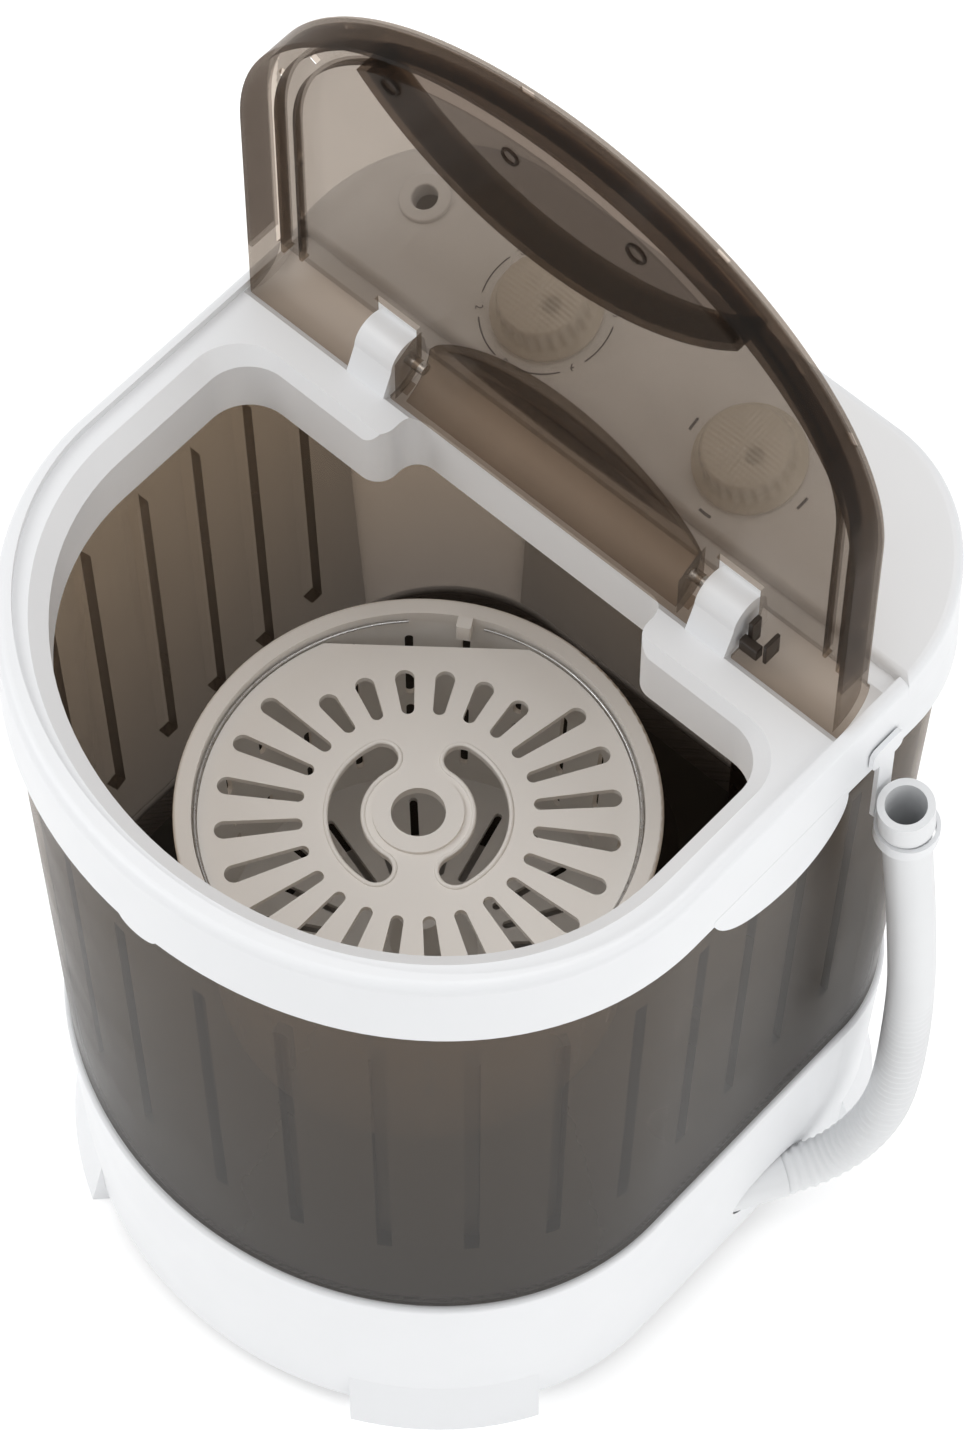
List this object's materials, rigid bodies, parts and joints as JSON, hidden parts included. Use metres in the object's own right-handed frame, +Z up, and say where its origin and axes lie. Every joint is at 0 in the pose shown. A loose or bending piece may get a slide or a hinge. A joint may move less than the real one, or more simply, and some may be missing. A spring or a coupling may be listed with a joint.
{
  "type": "top load washing machine",
  "caption": "Small portable washer: smoky clear D-shaped tub on a white base, hinged clear lid, lift-out spin basket and hung drain hose.",
  "frame": {"origin": "on the floor, under the middle of the machine", "axes": "+Z up, +Y towards the control panel at the back, +X towards the drain hose side"},
  "size_m": [0.3923, 0.378, 0.74],
  "materials": {
    "white_shell": "satin gloss moulded",
    "smoke_clear": "smoky translucent moulded",
    "smoke_cover": "dark translucent cover",
    "lid_smoke": "smoky clear moulded",
    "knob_clear": "clear moulded, faceted",
    "cream_plastic": "satin",
    "pulsator_plastic": "satin",
    "grey_plastic": "moulded",
    "hose_white": "flexible, satin",
    "rubber_black": "matte",
    "steel": "brushed",
    "motor_metal": "satin",
    "cast_metal": "as cast"
  },
  "bodies": {
    "cabinet": {"base_housing": "white_shell", "bottom_plate": "grey_plastic", "feet": "white_shell", "base_screws": "steel", "tub": "smoke_clear", "overflow_duct": "smoke_cover", "top_frame": "white_shell", "hinge_pins": "steel", "control_panel": "white_shell", "inlet_ring": "white_shell", "panel_screws": "steel", "timer_module": "grey_plastic", "selector_switch": "grey_plastic", "bearing_housing": "cast_metal", "bearings": "steel", "shaft_seal": "rubber_black", "drive_belt": "rubber_black", "motor": "motor_metal", "motor_bracket": "motor_metal", "motor_grommets": "rubber_black", "capacitor": "grey_plastic", "drain_elbow": "hose_white", "drain_hose": "hose_white", "hose_cuff": "hose_white", "hose_hook": "white_shell", "cord_gland": "grey_plastic"},
    "lid": {"lid": "lid_smoke", "lid_grip": "lid_smoke"},
    "timer": {"timer_knob": "knob_clear"},
    "selector": {"selector_knob": "knob_clear"},
    "drive": {"drive_shaft": "steel", "driven_pulley": "grey_plastic", "shaft_nut": "steel", "pulsator": "pulsator_plastic"},
    "basket": {"spin_basket": "cream_plastic", "basket_ring": "steel", "basket_clip": "cream_plastic"},
    "basket_cover": {"basket_lid": "cream_plastic"},
    "rotor": {"motor_shaft": "steel", "motor_pulley": "cast_metal"}
  },
  "joints": [
    {"name": "lid_hinge", "type": "hinge", "parent": "cabinet", "child": "lid", "pos_m": [0, 0.077, 0.488], "axis": [1, 0, 0], "range_deg": [0, 90]},
    {"name": "timer_turn", "type": "hinge", "parent": "cabinet", "child": "timer", "pos_m": [-0.059, 0.139, 0.49021], "axis": [0, -0.2659, 0.964], "range_deg": [-300, 0]},
    {"name": "selector_turn", "type": "hinge", "parent": "cabinet", "child": "selector", "pos_m": [0.059, 0.139, 0.49021], "axis": [0, -0.2659, 0.964], "range_deg": [-45, 45]},
    {"name": "drive_spin", "type": "hinge", "parent": "cabinet", "child": "drive", "pos_m": [0, -0.015, 0.1], "axis": [0, 0, 1], "continuous": true},
    {"name": "basket_lift", "type": "slide", "parent": "drive", "child": "basket", "axis": [0, 0, 1], "range_m": [0, 0.105]},
    {"name": "basket_cover_lift", "type": "slide", "parent": "basket", "child": "basket_cover", "axis": [0, 0, 1], "range_m": [0, 0.02]},
    {"name": "motor_spin", "type": "hinge", "parent": "cabinet", "child": "rotor", "pos_m": [0, 0.105, 0.1], "axis": [0, 0, 1], "continuous": true}
  ],
  "couplings": [
    {"joint": "motor_spin", "follows": "drive_spin", "ratio": 6.0909}
  ]
}
